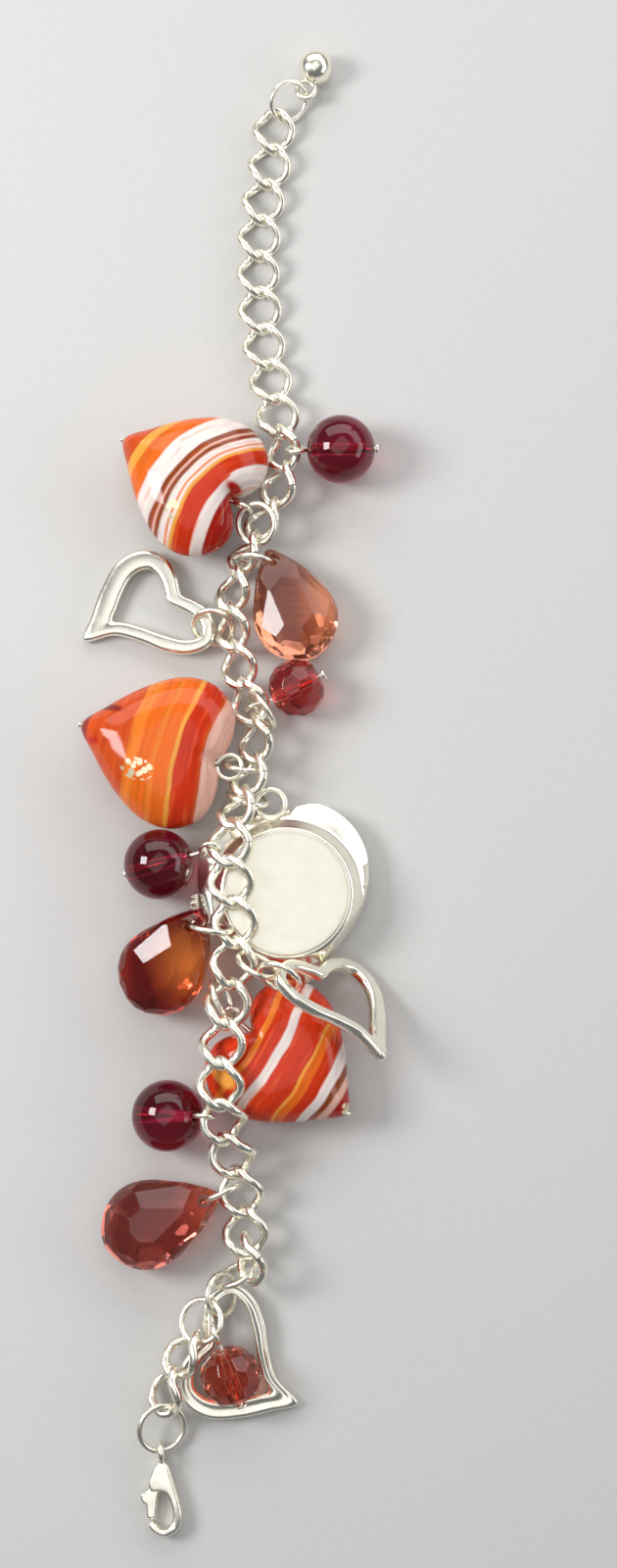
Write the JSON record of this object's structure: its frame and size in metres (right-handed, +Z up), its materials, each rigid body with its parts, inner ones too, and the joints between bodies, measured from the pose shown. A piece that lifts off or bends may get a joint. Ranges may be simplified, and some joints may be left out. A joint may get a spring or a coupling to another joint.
{
  "type": "bracelet watch",
  "caption": "Charm bracelet laid out straight: curb chain, glass hearts and beads, open hearts, a heart-shaped watch lying on its face, and a lobster clasp.",
  "frame": {"origin": "under the middle of the whole bracelet, on the surface that it lies on", "axes": "+Y along the bracelet from the clasp to the end ball, +X to the right seen from above, +Z up"},
  "size_m": [0.043, 0.2102, 0.0142],
  "materials": {
    "silver": "bright plated metal",
    "steel": "satin",
    "striped_glass": "polished lampwork glass with white and orange stripes",
    "plum_glass": "polished",
    "amber_glass": "faceted and polished",
    "red_glass": "faceted and polished",
    "crystal": "clear and polished",
    "dial_paint": "matt"
  },
  "bodies": {
    "bracelet": {"extender_chain": "silver", "charm_chain": "silver", "clasp_chain": "silver", "end_ring": "silver", "clasp_ring": "silver", "lower_ring_1": "silver", "lower_ring_2": "silver", "lower_ring_3": "silver", "glass_heart_1_ring": "silver", "briolette_1_ring": "silver", "open_heart_1_ring": "silver", "glass_heart_2_ring": "silver", "small_bead_1_ring": "silver", "watch_ring": "silver", "briolette_2_ring": "silver", "open_heart_2_ring_1": "silver", "open_heart_2_ring_2": "silver", "glass_heart_3_ring": "silver", "briolette_3_ring": "silver", "end_ball": "silver", "plum_bead_1": "plum_glass", "plum_bead_1_pin": "silver", "plum_bead_2": "plum_glass", "plum_bead_2_pin": "silver", "plum_bead_3": "plum_glass", "plum_bead_3_pin": "silver", "small_bead_1": "red_glass", "small_bead_1_pin": "silver", "small_bead_2": "red_glass", "small_bead_2_pin": "silver", "briolette_1": "amber_glass", "briolette_2": "amber_glass", "briolette_3": "amber_glass", "glass_heart_1": "striped_glass", "glass_heart_1_pin": "silver", "glass_heart_2": "striped_glass", "glass_heart_2_pin": "silver", "glass_heart_3": "striped_glass", "glass_heart_3_pin": "silver", "open_heart_1": "silver", "open_heart_2": "silver", "open_heart_3": "silver", "watch_case": "silver", "watch_back": "steel", "watch_crystal": "crystal", "watch_dial": "dial_paint", "hour_hand": "steel", "minute_hand": "steel", "watch_crown": "silver", "clasp_body": "silver"},
    "lever": {"clasp_lever": "silver"}
  },
  "joints": [
    {"name": "clasp_lever", "type": "hinge", "parent": "bracelet", "child": "lever", "pos_m": [-0.0096, -0.09808, 0.0011], "axis": [0, 0, 1], "range_deg": [0, 20], "stiffness_Nm_per_rad": 0.001, "springref_deg": -5.73}
  ]
}
